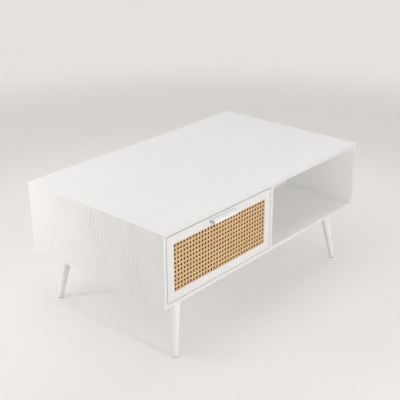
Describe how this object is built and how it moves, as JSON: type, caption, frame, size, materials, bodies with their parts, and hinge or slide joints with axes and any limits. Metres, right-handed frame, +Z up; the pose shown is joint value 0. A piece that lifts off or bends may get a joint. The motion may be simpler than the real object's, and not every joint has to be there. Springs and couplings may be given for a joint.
{
  "type": "storage coffee table",
  "caption": "Low rectangular coffee table on splayed round legs, with a cane-fronted drawer and an open shelf along each long side.",
  "frame": {"origin": "on the floor, under the middle of the table", "axes": "+X along the table's length, to the right as the front drawer is faced; +Y from the front to the rear; +Z up"},
  "size_m": [1, 0.638, 0.4425],
  "materials": {
    "white_paint": "satin white paint over embossed wood grain",
    "white_metal": "satin white powder coat",
    "drawer_board": "matt white laminated board",
    "dark_board": "matt dark brown board",
    "cane": "natural woven cane, open mesh",
    "zinc_steel": "bright zinc plating",
    "felt": "pressed felt"
  },
  "bodies": {
    "table": {"top_panel": "white_paint", "bottom_panel": "white_paint", "left_end_panel": "white_paint", "right_end_panel": "white_paint", "centre_partition": "white_paint", "front_divider": "white_paint", "rear_divider": "white_paint", "front_left_leg": "white_paint", "front_left_leg_plate": "zinc_steel", "front_left_leg_bolt": "zinc_steel", "front_left_foot_pad": "felt", "front_right_leg": "white_paint", "front_right_leg_plate": "zinc_steel", "front_right_leg_bolt": "zinc_steel", "front_right_foot_pad": "felt", "rear_left_leg": "white_paint", "rear_left_leg_plate": "zinc_steel", "rear_left_leg_bolt": "zinc_steel", "rear_left_foot_pad": "felt", "rear_right_leg": "white_paint", "rear_right_leg_plate": "zinc_steel", "rear_right_leg_bolt": "zinc_steel", "rear_right_foot_pad": "felt", "front_drawer_slide_outer_left": "zinc_steel", "front_drawer_slide_outer_right": "zinc_steel", "rear_drawer_slide_outer_left": "zinc_steel", "rear_drawer_slide_outer_right": "zinc_steel"},
    "front_drawer": {"front_drawer_front_frame": "white_paint", "front_drawer_cane_panel": "cane", "front_drawer_cane_backing": "dark_board", "front_drawer_pull": "white_metal", "front_drawer_pull_screw_left": "zinc_steel", "front_drawer_pull_screw_right": "zinc_steel", "front_drawer_box_front": "drawer_board", "front_drawer_box_left": "drawer_board", "front_drawer_box_right": "drawer_board", "front_drawer_box_back": "drawer_board", "front_drawer_box_bottom": "drawer_board", "front_drawer_slide_inner_left": "zinc_steel", "front_drawer_slide_inner_right": "zinc_steel"},
    "rear_drawer": {"rear_drawer_front_frame": "white_paint", "rear_drawer_cane_panel": "cane", "rear_drawer_cane_backing": "dark_board", "rear_drawer_pull": "white_metal", "rear_drawer_pull_screw_left": "zinc_steel", "rear_drawer_pull_screw_right": "zinc_steel", "rear_drawer_box_front": "drawer_board", "rear_drawer_box_left": "drawer_board", "rear_drawer_box_right": "drawer_board", "rear_drawer_box_back": "drawer_board", "rear_drawer_box_bottom": "drawer_board", "rear_drawer_slide_inner_left": "zinc_steel", "rear_drawer_slide_inner_right": "zinc_steel"},
    "front_left_ball_cage": {"front_drawer_ball_cage_left": "zinc_steel"},
    "front_right_ball_cage": {"front_drawer_ball_cage_right": "zinc_steel"},
    "rear_left_ball_cage": {"rear_drawer_ball_cage_left": "zinc_steel"},
    "rear_right_ball_cage": {"rear_drawer_ball_cage_right": "zinc_steel"}
  },
  "joints": [
    {"name": "front_drawer_slide", "type": "slide", "parent": "table", "child": "front_drawer", "axis": [0, -1, 0], "range_m": [0, 0.18]},
    {"name": "rear_drawer_slide", "type": "slide", "parent": "table", "child": "rear_drawer", "axis": [0, 1, 0], "range_m": [0, 0.18]},
    {"name": "front_left_cage_slide", "type": "slide", "parent": "table", "child": "front_left_ball_cage", "axis": [0, -1, 0], "range_m": [0, 0.09]},
    {"name": "front_right_cage_slide", "type": "slide", "parent": "table", "child": "front_right_ball_cage", "axis": [0, -1, 0], "range_m": [0, 0.09]},
    {"name": "rear_left_cage_slide", "type": "slide", "parent": "table", "child": "rear_left_ball_cage", "axis": [0, 1, 0], "range_m": [0, 0.09]},
    {"name": "rear_right_cage_slide", "type": "slide", "parent": "table", "child": "rear_right_ball_cage", "axis": [0, 1, 0], "range_m": [0, 0.09]}
  ],
  "couplings": [
    {"joint": "front_left_cage_slide", "follows": "front_drawer_slide", "ratio": 0.5},
    {"joint": "front_right_cage_slide", "follows": "front_drawer_slide", "ratio": 0.5},
    {"joint": "rear_left_cage_slide", "follows": "rear_drawer_slide", "ratio": 0.5},
    {"joint": "rear_right_cage_slide", "follows": "rear_drawer_slide", "ratio": 0.5}
  ]
}
